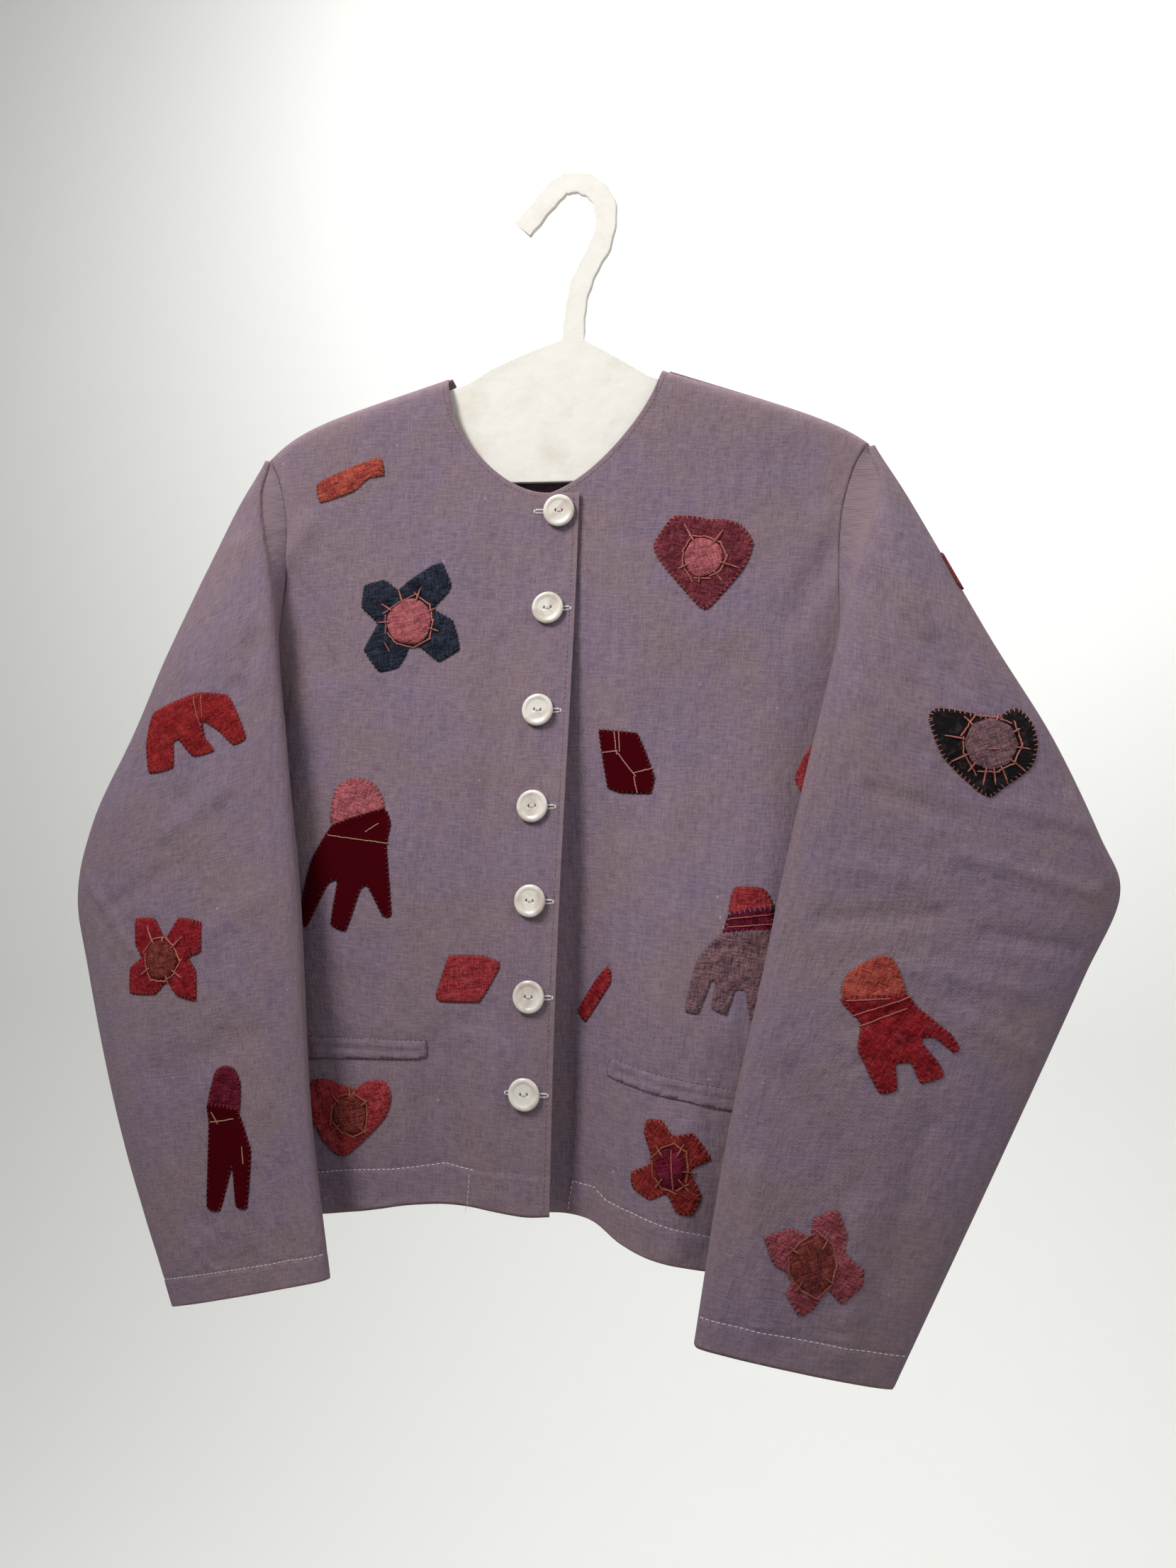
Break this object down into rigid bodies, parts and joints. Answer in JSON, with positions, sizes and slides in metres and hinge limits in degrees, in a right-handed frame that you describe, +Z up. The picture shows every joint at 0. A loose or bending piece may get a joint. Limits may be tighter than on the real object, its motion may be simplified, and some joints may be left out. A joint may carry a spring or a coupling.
{
  "type": "patched jacket on a hanger",
  "caption": "Short boxy cotton jacket, buttoned down the front and sewn with hand-cut patches, hanging flat on a cloth-covered board hanger with a flat hook.",
  "frame": {"origin": "the point inside the crook of the hook where a nail or peg bears, on the back plane of the board", "axes": "+Z up along the hanging jacket, +X to the viewer's right, the front faces -Y"},
  "size_m": [0.707, 0.113, 0.7701],
  "materials": {
    "jacket_cloth": "mauve-grey cotton twill, washed and a little streaky",
    "hanger_canvas": "off-white calico sewn over a board",
    "pearl_button": null,
    "orange_cloth": "hand-dyed brick-orange cotton",
    "red_cloth": "hand-dyed soft red cotton",
    "wine_felt": "dark red felted wool",
    "maroon_cloth": "hand-dyed maroon cotton",
    "rose_cloth": "hand-dyed rose-mauve cotton",
    "pink_cloth": "hand-dyed pink cotton",
    "navy_cloth": "navy indigo cotton",
    "black_cloth": "crushed black velvet",
    "mauve_cloth": "brown-mauve open-weave cotton",
    "plum_cloth": "dark plum cotton",
    "brown_cloth": "red-brown cotton"
  },
  "bodies": {
    "root": {"back": "jacket_cloth", "button_1": "pearl_button", "button_2": "pearl_button", "button_3": "pearl_button", "button_4": "pearl_button", "button_5": "pearl_button", "button_6": "pearl_button", "button_7": "pearl_button", "disc_flower_navy": "pink_cloth", "disc_flower_red": "brown_cloth", "disc_flower_rose": "brown_cloth", "disc_flower_rust": "plum_cloth", "disc_heart_black": "mauve_cloth", "disc_heart_maroon": "pink_cloth", "disc_heart_red": "brown_cloth", "front_left": "jacket_cloth", "front_right": "jacket_cloth", "hanger": "hanger_canvas", "patch_arch": "orange_cloth", "patch_bar_red": "red_cloth", "patch_bar_shoulder": "orange_cloth", "patch_diamond_red": "red_cloth", "patch_diamond_wine": "wine_felt", "patch_edge_red": "red_cloth", "patch_flower_navy": "navy_cloth", "patch_flower_red": "red_cloth", "patch_flower_rose": "rose_cloth", "patch_flower_rust": "maroon_cloth", "patch_hand_mauve": "mauve_cloth", "patch_hand_mauve_band": "plum_cloth", "patch_hand_mauve_cap": "red_cloth", "patch_hand_narrow": "wine_felt", "patch_hand_narrow_cap": "plum_cloth", "patch_hand_red": "red_cloth", "patch_hand_red_cap": "orange_cloth", "patch_hand_wine": "wine_felt", "patch_hand_wine_cap": "pink_cloth", "patch_heart_black": "black_cloth", "patch_heart_maroon": "maroon_cloth", "patch_heart_red": "red_cloth", "patch_side_red": "red_cloth", "sleeve_left_top": "jacket_cloth", "sleeve_left_under": "jacket_cloth", "sleeve_right_top": "jacket_cloth", "sleeve_right_under": "jacket_cloth", "welt_left": "jacket_cloth", "welt_right": "jacket_cloth"}
  },
  "joints": []
}
